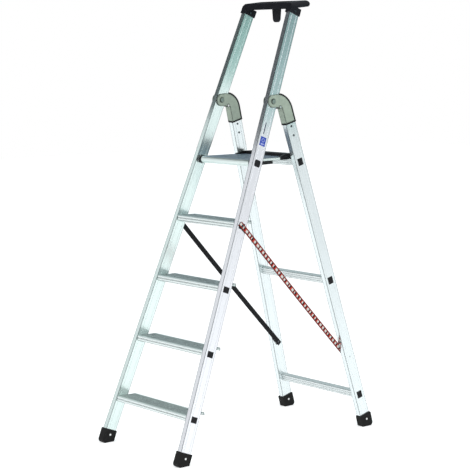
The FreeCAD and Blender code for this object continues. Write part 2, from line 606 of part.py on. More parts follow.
def hinge_cover(side_name):
    """Black strip that closes the back of the casting and ends in a collar on the leg."""
    side = SIDES[side_name]
    name = "hinge_cover_" + side_name
    thick = "Sizes.cover_thick"
    outside = prism(name + "_outside", "YZ_Plane", [
        ("-5", "Sizes.arm_top + %s" % thick, None),
        ("Derived.arm_rear + %s" % thick, "Sizes.arm_top + %s" % thick, None),
        ("Derived.arm_rear + %s" % thick, "-Sizes.arm_bottom - %s" % thick, None),
        ("Derived.arm_front", "-Sizes.arm_bottom - %s" % thick, None),
        ("Derived.arm_front", "-Sizes.arm_bottom + 5", None), ("-5", "-Sizes.arm_bottom + 5", None)],
        HINGE_WIDTH + " + 1")
    inside = prism(name + "_inside", "YZ_Plane", [
        ("-15", "Sizes.arm_top", None), ("Derived.arm_rear", "Sizes.arm_top", None),
        ("Derived.arm_rear", "-Sizes.arm_bottom", None), ("-15", "-Sizes.arm_bottom", None)], "200")
    strip = cut(name + "_strip", round_backed(name + "_back", outside, thick),
                [round_backed(name + "_front", inside, "0")])
    room = prism(name + "_room", "YZ_Plane", slot_outline("Sizes.fork_play"), "120")
    hole = block(name + "_tongue_hole", ("0", "Sizes.pivot_setback", "-Sizes.arm_bottom"),
                 ("Sizes.leg_thick - 2 * Sizes.bar_wall",
                  "Sizes.leg_depth - 2 * (Sizes.bar_wall + Sizes.arm_inset - Sizes.fit_gap)", "40"))
    shell = at_hinge(cut(name + "_shell", strip, [room, hole]), side)
    return in_rear_frame(group(name, [shell]))


def pivot_pin(side_name):
    side = SIDES[side_name]
    name = "pivot_pin_" + side_name
    pin = rivet(name, hinge_centre(side), SEAT_WIDTH, "Sizes.pin_dia / 2", "Sizes.pin_head_dia / 2",
                "Sizes.pin_head_high")
    return in_rear_frame(pin)


def pivot_bush(side_name):
    """Plain bearing in the stile that turns on the pivot pin."""
    name = "pivot_bush_" + side_name
    centre = ("%d * Derived.hinge_x" % SIDES[side_name], "0", "Sizes.pivot_height")
    length = "Derived.fork_gap - Sizes.bush_play"
    ring = rod(name + "_ring", centre, "Derived.bush_radius", length)
    bore = rod(name + "_bore", centre, "Sizes.pin_dia / 2 + Sizes.run_gap", "%s + 2" % length)
    return in_front_frame(cut(name, ring, [bore]))


def stop_screws():
    """One across each fork, just clear of the folded stile."""
    pins = [at_hinge(group("stop_%s" % side_name,
                           [rivet("stop_screw_" + side_name, ("0", STOP_Y, "-Sizes.stop_place"), HINGE_WIDTH,
                                  "Sizes.stop_dia / 2")]), side) for side_name, side in SIDES.items()]
    return in_rear_frame(group("stop_screws", pins))


def leg_rivets():
    pins = []
    for side_name, side in SIDES.items():
        for number in LEG_RIVETS:
            label = "leg_rivet_%s_%d" % (side_name, number)
            pin = rivet(label, ("0", "0", leg_rivet(number)), "Sizes.leg_thick")
            pins.append(splayed(group(label + "_set", [pin]), side, "Derived.leg_mid"))
    return in_rear_frame(group("leg_rivets", pins))


# ---------------------------------------------------------------- platform

# The platform is drawn level about the middle of its axle, Y to the rear.

def platform_axle():
    """Tube through both stiles that the nose of the platform turns on."""
    name = "platform_axle"
    tube = rod(name + "_outside", ("0", "0", along_stile(4)), "Sizes.axle_dia / 2", "Sizes.floor_width")
    bore = rod(name + "_bore", ("0", "0", along_stile(4)), "Sizes.axle_dia / 2 - Sizes.tube_wall",
               "Sizes.floor_width + 2")
    ring = cut(name + "_tube", tube, [bore])
    return in_front_frame(common(name, ring, wedge(name + "_through", "Derived.stile_outer")))


def axle_plugs():
    """Square plugs with rounded corners in the ends of the axle."""
    plugs = []
    for side_name, side in SIDES.items():
        label = "axle_plug_" + side_name
        flange = prism(label + "_flange", "YZ_Plane",
                       rectangle("Sizes.axle_plug", "Sizes.axle_plug", radius="Sizes.axle_plug_corner"),
                       "Sizes.plug_proud")
        bind(flange, {"Placement.Base.x": "%d * Sizes.plug_proud / 2" % side})
        stub = rod(label + "_stub", ("%d * (Sizes.plug_proud - Sizes.plug_insert) / 2" % side, "0", "0"),
                   "Sizes.axle_dia / 2 - Sizes.tube_wall - Sizes.plug_gap", "Sizes.plug_insert")
        height = along_stile(4)
        outward = "Derived.stile_outer - (%s) * tan(Sizes.splay)" % height
        plugs.append(splayed(joined(label, [flange, stub]), side, outward, z=height))
    return in_front_frame(group("axle_plugs", plugs))


DECK_TAPER = "(Sizes.deck_front_half - Sizes.deck_rear_half) / Derived.deck_length"
BLOCK_FRONT = "(Derived.rest_y - Sizes.rail_block)"


def deck_half(y):
    """Half the width of the platform at a distance behind the axle."""
    return "(Sizes.deck_front_half - (%s) * %s)" % (y, DECK_TAPER)


def mirrored(corners):
    """An outline in plan, from its right-hand half drawn front to back."""
    left = [("-(%s)" % x, y, radius) for x, y, radius in reversed(corners)]
    return corners + left


def platform_deck():
    """Ribbed deck with a round nose that turns on the axle, and notches at the back for the rail."""
    name = "platform_deck"
    under = "Sizes.deck_top - Sizes.deck_thick"
    slab = block(name + "_slab", ("0", "Derived.deck_length / 2", "Sizes.deck_top - Sizes.deck_thick / 2"),
                 ("400", "Derived.deck_length", "Sizes.deck_thick"))
    nose = rod(name + "_nose", ("0", "0", "0"), "Sizes.nose_radius", "400")
    plan = prism(name + "_plan", "XY_Plane", mirrored([
        ("Sizes.deck_front_half", "-30", None), ("Sizes.deck_front_half", "0", None),
        (deck_half(BLOCK_FRONT), BLOCK_FRONT, None),
        ("%s - Sizes.rail_side" % deck_half(BLOCK_FRONT), BLOCK_FRONT, None),
        ("Sizes.deck_rear_half - Sizes.rail_side", "Derived.deck_length + 2", None)]), "80")
    shape = common(name + "_shape", joined(name + "_blank", [slab, nose]), plan)
    tools = [rod(name + "_bore", ("0", "0", "0"), "Sizes.axle_dia / 2 + Sizes.run_gap", "500")]
    bays = 3
    for bay in range(bays):
        pitch = "((Derived.deck_length - Sizes.nose_radius) / %d)" % bays
        middle = "Sizes.nose_radius + %g * %s" % (bay + 0.5, pitch)
        tools.append(block("%s_bay_%d" % (name, bay), ("0", middle, "%s - 20 - Sizes.tread_skin + Sizes.deck_thick"
                                                       % under),
                           ("2 * (Sizes.deck_rear_half - Sizes.rail_side - Sizes.web)",
                            "%s - Sizes.web" % pitch, "40")))
    groove_count = 22
    for index in range(groove_count):
        place = "(%d + 0.5) * Derived.deck_length / %d" % (index, groove_count)
        tools.append(block("%s_groove_%d" % (name, index), ("0", place, "Sizes.deck_top"),
                           ("400", "Sizes.rib_groove", "2 * Sizes.rib_deep")))
    return set_down(cut(name, shape, tools), "Derived.axle_y", "Derived.axle_z")


def platform_cap(side_name):
    """Moulded end of the nose, with an arm back under the edge of the deck."""
    side = SIDES[side_name]
    name = "platform_cap_" + side_name
    gap = "Sizes.fit_gap"
    ring = rod(name + "_ring", ("%d * (Sizes.deck_front_half + %s + Sizes.cap_length / 2)" % (side, gap), "0", "0"),
               "Sizes.nose_radius + Sizes.cap_proud", "Sizes.cap_length")
    outer = "%d * (Sizes.deck_front_half + %s + Sizes.cap_length)" % (side, gap)
    inner = "%d * (Sizes.deck_front_half + %s)" % (side, gap)
    far = "Sizes.cap_arm_length"
    arm = prism(name + "_arm", "XY_Plane", [
        (inner, "Sizes.axle_dia / 2 + 2", None), (outer, "Sizes.axle_dia / 2 + 2", None),
        (outer, "Sizes.nose_radius + Sizes.cap_arm_width", None),
        ("%d * %s" % (side, deck_half(far)), far, None),
        ("%d * (%s - Sizes.cap_arm_width)" % (side, deck_half(far)), far, None),
        ("%d * (Sizes.deck_front_half - Sizes.cap_arm_width)" % side, "Sizes.nose_radius + 3", None),
        (inner, "Sizes.nose_radius + 3", None)], "Sizes.cap_arm_high")
    bind(arm, {"Placement.Base.z": "Sizes.deck_top - Sizes.deck_thick - %s - Sizes.cap_arm_high / 2" % gap})
    bore = rod(name + "_bore", ("0", "0", "0"), "Sizes.axle_dia / 2 + Sizes.run_gap", "500")
    return set_down(cut(name, joined(name + "_solid", [ring, arm]), [bore]), "Derived.axle_y", "Derived.axle_z")


def platform_rear_rail():
    """Moulded rail with a notch that rests over the support rung, and blocks forward along the deck."""
    name = "platform_rear_rail"
    gap = "Sizes.fit_gap"
    front = "Derived.deck_length + %s" % gap
    wall_end = "Derived.deck_length + Sizes.rail_wall"
    lip = "Derived.rail_end - Sizes.rail_wall"
    top = "Sizes.deck_top + Sizes.rail_high"
    roof = "Derived.rest_top + Sizes.rail_gap"
    under = "Sizes.deck_top - Sizes.deck_thick"
    bar = prism(name + "_bar", "YZ_Plane", [
        (front, under, None), (wall_end, under, None), (wall_end, roof, None), (lip, roof, None),
        (lip, "-Sizes.rail_hook_drop", None), ("Derived.rail_end", "-Sizes.rail_hook_drop", None),
        ("Derived.rail_end", top, "4"), (front, top, "2")], "2 * Sizes.deck_rear_half")
    pieces = [bar]
    for side_name, side in SIDES.items():
        profile = prism("%s_%s_side" % (name, side_name), "YZ_Plane", [
            ("%s + %s" % (BLOCK_FRONT, gap), under, None), (wall_end, under, None), (wall_end, top, None),
            ("%s - Sizes.rail_side" % front, top, "10"),
            ("%s + %s" % (BLOCK_FRONT, gap), "Sizes.deck_top + 1", None)], "400")
        inner = "%d * (%s - Sizes.rail_side + %s)"
        plan = prism("%s_%s_plan" % (name, side_name), "XY_Plane", [
            (inner % (side, deck_half(BLOCK_FRONT), gap), BLOCK_FRONT, None),
            ("%d * %s" % (side, deck_half(BLOCK_FRONT)), BLOCK_FRONT, None),
            ("%d * Sizes.deck_rear_half" % side, wall_end, None),
            (inner % (side, "Sizes.deck_rear_half", gap), wall_end, None)], "80")
        pieces.append(common("%s_%s_block" % (name, side_name), profile, plan))
    return set_down(joined(name, pieces), "Derived.axle_y", "Derived.axle_z")


# ---------------------------------------------------------------- tray

def tool_tray():
    """One moulding over both stiles: hand grip, tray on top, two sockets and a hook for a bucket."""
    name = "tool_tray"
    half = "Sizes.tray_thick / 2"
    slope = "%s * tan(Sizes.front_lean)" % half
    profile = prism(name + "_profile", "YZ_Plane", [
        ("-Sizes.tray_front - %s" % slope, "-%s" % half, None), ("Sizes.tray_rear", "-%s" % half, "13"),
        ("Sizes.tray_rear", half, "13"), ("%s - Sizes.tray_front" % slope, half, "4")], "2 * Sizes.tray_half")
    front = prism(name + "_front", "XZ_Plane", [
        ("-Sizes.tray_half", "-%s" % half, None), ("Sizes.tray_half", "-%s" % half, None),
        ("Sizes.tray_half", half, "Sizes.tray_corner"), ("-Sizes.tray_half", half, "Sizes.tray_corner")], "400")
    recess = prism(name + "_recess", "XY_Plane", rectangle(
        "2 * Sizes.tray_recess_half", "Sizes.tray_rear + Sizes.tray_front - 2 * Sizes.tray_rim - %s" % slope,
        "0", "(Sizes.tray_rear - Sizes.tray_front + %s) / 2" % slope, "12"), "2 * Sizes.tray_recess")
    bind(recess, {"Placement.Base.z": half})
    bar = cut(name + "_bar", common(name + "_block", profile, front), [recess])
    bar.Placement = Placement(Vector(), Rotation(AXIS_X, 1))
    bind(bar, {"Placement.Base.y": "Derived.tray_y", "Placement.Base.z": "Derived.tray_middle",
               "Placement.Rotation.Angle": "Sizes.tray_tilt"})
    sockets = []
    pockets = []
    for side_name, side in SIDES.items():
        low = "Derived.socket_low"
        high = "Sizes.stile_length + 6"
        outside = block("%s_%s_socket" % (name, side_name), ("0", "0", "(%s + %s) / 2" % (low, high)),
                        ("Sizes.stile_thick + 2 * Sizes.socket_wall", "Sizes.stile_depth + 2 * Sizes.socket_face",
                         "%s - %s" % (high, low)))
        inside = block("%s_%s_pocket" % (name, side_name),
                       ("0", "0", "(%s - 20 + Sizes.stile_length + Sizes.fit_gap) / 2" % low),
                       ("Sizes.stile_thick + 2 * Sizes.fit_gap", "Sizes.stile_depth + 2 * Sizes.fit_gap",
                        "Sizes.stile_length + Sizes.fit_gap - %s + 20" % low))
        sockets.append(splayed(group("%s_%s_outside" % (name, side_name), [outside]), side, "Derived.stile_mid"))
        pockets.append(splayed(group("%s_%s_inside" % (name, side_name), [inside]), side, "Derived.stile_mid"))
        pockets.append(across("%s_%s_rivet" % (name, side_name), side, "Derived.stile_mid",
                              "Derived.socket_low + Sizes.socket_rivet"))
    root = "(Derived.tray_middle - 6)"
    tip = "(%s - Sizes.hook_drop)" % root
    hook = prism(name + "_hook", "XZ_Plane", [
        ("-Sizes.hook_width / 2", root, None), ("-Sizes.hook_tip_width / 2", tip, "Sizes.hook_tip_width * 0.4"),
        ("Sizes.hook_tip_width / 2", tip, "Sizes.hook_tip_width * 0.4"),
        ("Sizes.hook_width / 2", root, None)], "Sizes.hook_thick")
    bind(hook, {"Placement.Base.y": "Derived.tray_y + Sizes.hook_setback"})
    leaning = leaned_back(group(name + "_leaning", sockets))
    solid = joined(name + "_solid", [bar, hook, leaning])
    rooms = leaned_back(group(name + "_rooms", pockets))
    return bind(cut(name, solid, [rooms]), {"Placement.Base.y": "-Derived.middle_y"})


def tray_rivets():
    pins = []
    for side_name, side in SIDES.items():
        label = "tray_rivet_" + side_name
        pin = rivet(label, ("0", "0", "Derived.socket_low + Sizes.socket_rivet"),
                    "Sizes.stile_thick + 2 * Sizes.socket_wall")
        pins.append(splayed(group(label + "_set", [pin]), side, "Derived.stile_mid"))
    return in_front_frame(group("tray_rivets", pins))


# ---------------------------------------------------------------- straps and label

STRAP_LIFT = "Sizes.plug_proud + Sizes.strap_gap"


def strap(side_name):
    """Webbing from the outside of the front stile to the inside of the rear leg, pulled straight."""
    side = SIDES[side_name]
    name = "strap_" + side_name
    web = block(name + "_web", ("0", "0", "0"),
                ("Sizes.strap_thick", "Derived.strap_run + 2 * Sizes.strap_end", "Sizes.strap_width"))
    holes = [rod("%s_hole_%d" % (name, end + 1), ("0", "%d * Derived.strap_run / 2" % end, "0"),
                 "Sizes.rivet_dia / 2 + Sizes.strap_hole_play", "20") for end in (-1, 1)]
    pierced = cut(name + "_pierced", web, holes)
    pierced.Placement = Placement(Vector(), Rotation(Vector(0, 0, 1), 1))
    bind(pierced, {"Placement.Rotation.Angle":
                   "%d * atan((Derived.strap_x2 - Derived.strap_x1) / Derived.strap_run)" % -side})
    sloped = group(name, [pierced])
    sloped.Placement = Placement(Vector(), Rotation(AXIS_X, -1))
    return bind(sloped, {"Placement.Rotation.Angle":
                         "-atan((Derived.strap_z1 - Derived.strap_z2) / (Derived.strap_y2 - Derived.strap_y1))",
                         "Placement.Base.x": "%d * (Derived.strap_x1 + Derived.strap_x2) / 2" % side,
                         "Placement.Base.y": "(Derived.strap_y1 + Derived.strap_y2) / 2 - Derived.middle_y",
                         "Placement.Base.z": "(Derived.strap_z1 + Derived.strap_z2) / 2"})


def headed(name, face, outward, shank_in, lift):
    """A rivet along X with one head: face is where the bar's surface is, outward is its side."""
    top = "%s + Sizes.strap_thick + Sizes.strap_gap" % lift
    shank = rod(name + "_shank", ("(%s) + %d * (%s - (%s)) / 2" % (face, outward, top, shank_in), "0", "0"),
                "Sizes.rivet_dia / 2", "%s + %s" % (top, shank_in))
    head = rod(name + "_head", ("(%s) + %d * (%s + Sizes.rivet_head_high / 2)" % (face, outward, top), "0", "0"),
               "Sizes.rivet_head_dia / 2", "Sizes.rivet_head_high")
    return joined(name, [shank, head])


def strap_rivets(name, rear):
    """One at this end of each strap: through the plug of the top tread, or the wall of the rear leg."""
    pins = []
    for side_name, side in SIDES.items():
        label = "%s_%s" % (name, side_name)
        middle = "Derived.leg_mid" if rear else "Derived.stile_mid"
        face = "%d * Sizes.leg_thick / 2" % -side if rear else "%d * Sizes.stile_thick / 2" % side
        lift = "Sizes.strap_rear_gap" if rear else "Sizes.plug_proud + Sizes.strap_gap"
        deep = "Sizes.bar_wall + Sizes.rivet_head_high" if rear else "Sizes.strap_grip"
        height = "Sizes.strap_low" if rear else "Derived.strap_high / cos(Sizes.splay)"
        pin = headed(label, face, -side if rear else side, deep, lift)
        bind(pin, {"Placement.Base.z": height})
        pins.append(splayed(group(label + "_set", [pin]), side, middle))
    return (in_rear_frame if rear else in_front_frame)(group(name, pins))


def tread_plugs():
    plugs = end_plugs("tread_plugs_all", len(TREADS), along_stile, "Derived.stile_outer", "Sizes.tube_deep",
                      "Sizes.tube_high")
    holes = [across("tread_plugs_hole_" + side_name, side, "Derived.stile_mid",
                    "Derived.strap_high / cos(Sizes.splay)") for side_name, side in SIDES.items()]
    return in_front_frame(cut("tread_plugs", plugs, holes))


def rung_plugs():
    return in_rear_frame(end_plugs("rung_plugs", len(RUNGS), along_leg, "Derived.leg_outer",
                                   "Sizes.rung_deep", "Sizes.rung_high"))


def stile_label():
    """Plain sticker on the outside of the right stile, with a thin stripe above it."""
    face = "(Sizes.stile_thick + Sizes.label_thick) / 2"
    patch = block("stile_label_patch", (face, "0", "Sizes.label_low + Sizes.label_high / 2"),
                  ("Sizes.label_thick", "Sizes.label_width", "Sizes.label_high"))
    stripe = block("stile_label_stripe", (face, "-Sizes.line_place", "Sizes.line_low + Sizes.line_high / 2"),
                   ("Sizes.label_thick", "Sizes.line_width", "Sizes.line_high"))
    return in_front_frame(group("stile_label", [splayed(group("stile_label_set", [patch, stripe]), 1,
                                                        "Derived.stile_mid")]))


# ---------------------------------------------------------------- the whole ladder

RUNG_NAMES = ["lower_rung", "middle_rung", "platform_support_rung"]

nodes = [tread(number) for number in TREADS]
nodes += [rung(number, RUNG_NAMES[number]) for number in RUNGS]
for each in SIDES:
    nodes += [stile(each), leg(each), hinge_casting(each), hinge_cover(each), pivot_pin(each), pivot_bush(each)]
    nodes += [foot("front_foot_" + each, SIDES[each], False), foot("rear_foot_" + each, SIDES[each], True)]
    nodes += [platform_cap(each), strap(each)]
nodes += [tread_plugs(), rung_plugs(), axle_plugs(), platform_axle(), platform_deck(), platform_rear_rail()]
nodes += [foot_rivets("front_foot_rivets", False), foot_rivets("rear_foot_rivets", True)]
nodes += [stop_screws(), leg_rivets(), tool_tray(), tray_rivets(), stile_label()]
nodes += [strap_rivets("strap_rivets_front", False), strap_rivets("strap_rivets_rear", True)]
doc.recompute()

for item in doc.Objects:
    if "Invalid" in item.State or "Error" in item.State:
        raise RuntimeError("%s did not recompute: %s" % (item.Name, item.State))
os.makedirs("parts", exist_ok=True)
for node in nodes:
    if node.Shape.isNull() or not node.Shape.isValid() or not node.Shape.Solids:
        raise RuntimeError("%s has no valid solid" % node.Name)
    node.Label = node.Name
    node.Shape.exportStep("parts/%s.step" % node.Name)
    print(node.Name, len(node.Shape.Solids), round(node.Shape.Volume))
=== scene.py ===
# %% [markdown]
# A folding platform stepladder: two front stiles with ribbed treads, a rear frame on cast hinges,
# a platform that tips up as the ladder closes, a black tray across the top and two webbing straps.
# The hard parts come from the solid model, so this lesson gives them their finishes, makes the
# straps as real webbing, and sets up a plain studio.

# %% Load the solid model
import math

import bpy
from mathutils import Euler, Matrix, Vector


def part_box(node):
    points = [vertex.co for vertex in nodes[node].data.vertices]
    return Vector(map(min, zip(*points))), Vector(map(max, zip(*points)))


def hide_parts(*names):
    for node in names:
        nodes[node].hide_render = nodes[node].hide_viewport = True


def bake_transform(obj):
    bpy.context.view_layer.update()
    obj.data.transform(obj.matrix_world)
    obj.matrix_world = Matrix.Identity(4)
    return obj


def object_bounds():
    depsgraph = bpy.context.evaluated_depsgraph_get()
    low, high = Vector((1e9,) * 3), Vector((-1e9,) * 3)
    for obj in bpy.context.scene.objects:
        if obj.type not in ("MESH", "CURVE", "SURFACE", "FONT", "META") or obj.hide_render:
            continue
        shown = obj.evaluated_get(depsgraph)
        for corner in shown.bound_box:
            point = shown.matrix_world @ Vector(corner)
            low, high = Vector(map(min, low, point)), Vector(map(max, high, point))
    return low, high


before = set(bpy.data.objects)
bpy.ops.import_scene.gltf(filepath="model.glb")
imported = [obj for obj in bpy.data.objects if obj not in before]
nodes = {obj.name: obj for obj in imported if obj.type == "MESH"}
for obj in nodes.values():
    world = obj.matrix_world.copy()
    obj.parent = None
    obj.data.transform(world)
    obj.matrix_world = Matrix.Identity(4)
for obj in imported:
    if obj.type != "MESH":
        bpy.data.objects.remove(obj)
solid_low, solid_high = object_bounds()
print("nodes", len(nodes), "box", [round(v, 3) for v in (*solid_low, *solid_high)])

# %% [markdown]
# A camera a few metres away with a long lens keeps the stiles nearly parallel. Its turn is built
# from three axes, so a small roll of the camera is easy to add.

# %% Camera
YAW, PITCH, ROLL = 0.8805, -0.1208, -0.0079
CAMERA_PLACE = Vector((5.030, -4.164, 1.653))


def camera_axes(yaw, pitch, roll):
    """Right, up and forward of a camera that is turned, tipped and rolled by these angles."""
    forward = Vector((-math.sin(yaw) * math.cos(pitch), math.cos(yaw) * math.cos(pitch),
                      math.sin(pitch)))
    level = Vector((math.cos(yaw), math.sin(yaw), 0))
    above = level.cross(forward)
    right = level * math.cos(roll) + above * math.sin(roll)
    up = above * math.cos(roll) - level * math.sin(roll)
    return right, up, forward


right, up, forward = camera_axes(YAW, PITCH, ROLL)
lens = bpy.data.cameras.new("studio_camera")
lens.lens = 118.8
lens.sensor_width = 36
camera = bpy.data.objects.new("studio_camera", lens)
bpy.context.collection.objects.link(camera)
camera.matrix_world = Matrix((
    (right.x, up.x, -forward.x, CAMERA_PLACE.x), (right.y, up.y, -forward.y, CAMERA_PLACE.y),
    (right.z, up.z, -forward.z, CAMERA_PLACE.z), (0, 0, 0, 1)))
bpy.context.scene.camera = camera
print("camera looks along", [round(v, 3) for v in forward])

# %% [markdown]
# The floor is a large pale plane. Bright, even light from all round makes brushed metal look
# silvery. The light is dimmer behind the ladder and to its left, which is what the tops of the
# treads mirror, and two soft lamps give the faces slightly different tones.

# %% Studio
bpy.ops.object.select_all(action="DESELECT")
bpy.ops.mesh.primitive_plane_add(size=30, location=(0, 0, solid_low.z - 0.0005))
floor = bpy.context.object
floor.name = "studio_floor"

world = bpy.data.worlds.new("studio_world")
bpy.context.scene.world = world
world.use_nodes = True
sky = world.node_tree
direction = sky.nodes.new("ShaderNodeTexCoord")
toward_key = sky.nodes.new("ShaderNodeVectorMath")
toward_key.operation = "DOT_PRODUCT"
toward_key.inputs[1].default_value = Vector((0.70, -0.70, -0.10)).normalized()
tones = sky.nodes.new("ShaderNodeValToRGB")
tones.color_ramp.elements[0].position = 0.08
tones.color_ramp.elements[0].color = (0.52, 0.61, 0.63, 1)
tones.color_ramp.elements[1].position = 0.42
tones.color_ramp.elements[1].color = (0.89, 0.91, 0.92, 1)
spread = sky.nodes.new("ShaderNodeMapRange")
spread.inputs["From Min"].default_value = -1.0
seen = sky.nodes.new("ShaderNodeLightPath")
backdrop = sky.nodes.new("ShaderNodeMix")
backdrop.data_type = "RGBA"
backdrop.inputs[7].default_value = (1.0, 1.0, 1.0, 1)
sky.links.new(direction.outputs["Generated"], toward_key.inputs[0])
sky.links.new(toward_key.outputs["Value"], spread.inputs["Value"])
sky.links.new(spread.outputs["Result"], tones.inputs["Fac"])
sky.links.new(tones.outputs["Color"], backdrop.inputs[6])
sky.links.new(seen.outputs["Is Camera Ray"], backdrop.inputs[0])
sky.links.new(backdrop.outputs[2], sky.nodes["Background"].inputs["Color"])
bpy.context.scene.view_settings.view_transform = "Standard"


def soft_lamp(name, place, target, size, watts):
    """A square area lamp that points at a target."""
    light = bpy.data.lights.new(name, "AREA")
    light.size = size
    light.energy = watts
    lamp = bpy.data.objects.new(name, light)
    bpy.context.collection.objects.link(lamp)
    lamp.location = place
    lamp.rotation_euler = (Vector(target) - Vector(place)).to_track_quat("-Z", "Y").to_euler()


soft_lamp("key_lamp", (3.5, -1.0, 3.6), (0, 0, 0.9), 2.5, 38)
soft_lamp("front_lamp", (-1.0, -4.0, 2.4), (0, 0, 0.9), 2.0, 16)

# %% [markdown]
# Bright metal takes its tones from what it mirrors. Two cards stand beside the upper stiles, as in
# a studio: a dark one for their narrow front faces and a blue-green one for their wide faces. Each
# card faces along the line of sight after it bounces off the face it is meant for. The camera
# doesn't see the cards and they cast no shadow. The lean of each frame is set here, in degrees,
# because the finishes need it too.

# %% Cards
FRONT_LEAN, REAR_LEAN = 21.5, -15.5


def stand_card(name, target, face, distance, width, height):
    """A card that this face mirrors towards the camera, at a distance from a target point."""
    bounce = forward - 2 * forward.dot(face) * face
    place = Vector(target) + bounce * distance
    bpy.ops.object.select_all(action="DESELECT")
    bpy.ops.mesh.primitive_plane_add(size=1, location=place,
                                     rotation=bounce.to_track_quat("Z", "Y").to_euler())
    card = bpy.context.object
    card.name = name
    card.scale = (width, height, 1)
    card.visible_camera = False
    card.visible_shadow = False
    card.visible_diffuse = False
    print(name, "at", [round(v, 2) for v in card.location])
    return card


front_turn = math.radians(FRONT_LEAN)
narrow_face = Vector((0, -math.cos(front_turn), math.sin(front_turn)))
wide_face = Vector((1, 0, 0))
dark_card = stand_card("dark_card", (0, 0.10, 2.08), narrow_face, 1.1, 2.4, 1.35)
teal_card = stand_card("teal_card", (0, 0.12, 1.92), wide_face, 1.2, 1.9, 0.84)

# %% [markdown]
# Shader sums read better as Python. A Wire stands for one output of a node, and adding or
# multiplying wires adds the Math nodes. Every other node comes from one method of a Finish.

# %% Shader helpers
class Wire:
    """An output of a node that can be used in sums."""

    def __init__(self, finish, socket):
        self.finish = finish
        self.socket = socket

    def maths(self, operation, first, second=0.0):
        return self.finish.node("Math", {"operation": operation}, {0: first, 1: second})

    def __add__(self, other):
        return self.maths("ADD", self, other)

    __radd__ = __add__

    def __mul__(self, other):
        return self.maths("MULTIPLY", self, other)

    __rmul__ = __mul__

    def __sub__(self, other):
        return self.maths("SUBTRACT", self, other)

    def __rsub__(self, other):
        return self.maths("SUBTRACT", other, self)

    def __truediv__(self, other):
        return self.maths("DIVIDE", self, other)

    def __gt__(self, other):
        return self.maths("GREATER_THAN", self, other)

    def __lt__(self, other):
        return self.maths("LESS_THAN", self, other)

    def fraction(self):
        return self.maths("FRACT", self)

    def size(self):
        return self.maths("ABSOLUTE", self)


class Finish:
    """A material that is built up node by node."""

    def __init__(self, name):
        self.material = bpy.data.materials.new(name)
        self.material.use_nodes = True
        self.tree = self.material.node_tree
        self.shader = self.tree.nodes["Principled BSDF"]

    def node(self, kind, settings=None, inputs=None, output=0):
        made = self.tree.nodes.new("ShaderNode" + kind)
        for name, setting in (settings or {}).items():
            setattr(made, name, setting)
        for name, given in (inputs or {}).items():
            if isinstance(given, Wire):
                self.tree.links.new(given.socket, made.inputs[name])
            else:
                made.inputs[name].default_value = given
        return Wire(self, made.outputs[output])

    def place(self, turn_x=0.0, stretch=(1, 1, 1), shift=(0, 0, 0)):
        """Object coordinates, turned about X and stretched."""
        spot = self.node("TexCoord", output="Object")
        turned = self.node("Mapping", {"vector_type": "POINT"},
                           {"Vector": spot, "Rotation": (turn_x, 0, 0), "Location": shift})
        return self.node("VectorMath", {"operation": "MULTIPLY"}, {0: turned, 1: stretch})

    def axis(self, vector, letter):
        return self.node("SeparateXYZ", None, {0: vector}, letter)

    def mix(self, factor, first, second):
        return self.node("Mix", {"data_type": "RGBA"}, {0: factor, 6: first, 7: second}, 2)

    def noise(self, vector, scale, detail=3.0):
        return self.node("TexNoise", None, {"Vector": vector, "Scale": scale, "Detail": detail}, 0)

    def clamp(self, amount):
        return self.node("Clamp", None, {"Value": amount})

    def softened(self, radius):
        """The surface normal with its edges rounded by this radius."""
        return self.node("Bevel", {"samples": 6}, {"Radius": radius})

    def edges(self, radius):
        """1 along sharp edges and 0 on the flats: where the rounded normal leaves the true one."""
        flat = self.node("NewGeometry", output="Normal")
        same = self.node("VectorMath", {"operation": "DOT_PRODUCT"},
                         {0: self.softened(radius), 1: flat}, "Value")
        return self.node("MapRange", {"interpolation_type": "SMOOTHSTEP"},
                         {"Value": same, "From Min": 0.992, "From Max": 0.955})

    def bump(self, height, strength, distance, normal):
        return self.node("Bump", None, {"Height": height, "Strength": strength,
                                        "Distance": distance, "Normal": normal})

    def set(self, **sockets):
        for name, given in sockets.items():
            socket = self.shader.inputs[name.replace("_", " ")]
            if isinstance(given, Wire):
                self.tree.links.new(given.socket, socket)
            else:
                socket.default_value = given
        return self


def colour(red, green, blue):
    return (red, green, blue, 1.0)


print("shader helpers ready")

# %% [markdown]
# Extruded aluminium has fine lines along its length, from the die, and slow changes of shine
# where hands and shoes have rubbed it. Noise stretched along the bar gives both, so the
# coordinates are first turned to the lean of each frame. A thin dark line of painted shade is
# drawn down every bar along its corners.

# %% Bar metal
# Colour of the painted shade line drawn along sharp edges.
PAINTED_EDGE_SHADE = colour(0.03, 0.045, 0.05)
STILE_HALF_DEPTH, LEG_HALF_DEPTH = 0.0255, 0.0265
CORNER_BAND = 0.004


def middle_of(name):
    """The middle of a node's box at rest."""
    low, high = (Vector(corner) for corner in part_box(name))
    return (low + high) / 2


def bar_metal(name, lean, on_axis, half_depth, tone):
    """Aluminium for bars that lean by this many degrees and whose axis passes this point."""
    finish = Finish(name)
    turn = math.radians(lean)
    axis_place = (Euler((turn, 0, 0)).to_matrix() @ on_axis).y
    from_axis = (finish.axis(finish.place(turn), "Y") - axis_place).size()
    # Painted shade: a thin dark line down the front and back corners of each bar.
    corners = finish.edges(0.0042) * (from_axis > half_depth - CORNER_BAND) * 0.95
    lines = finish.noise(finish.place(turn, (420, 420, 3)), 1.0, 4)
    wear = finish.noise(finish.place(turn, (9, 9, 3)), 1.0, 3)
    shine = finish.mix(wear * 0.7 + lines * 0.3, colour(*[c * 0.82 for c in tone]), colour(*tone))
    base = finish.mix(corners, shine, PAINTED_EDGE_SHADE)
    finish.set(Base_Color=base, Metallic=0.92, Roughness=wear * 0.12 + lines * 0.06 + 0.11,
               Normal=finish.bump(lines, 0.10, 0.0004, finish.softened(0.0012)))
    return finish.material
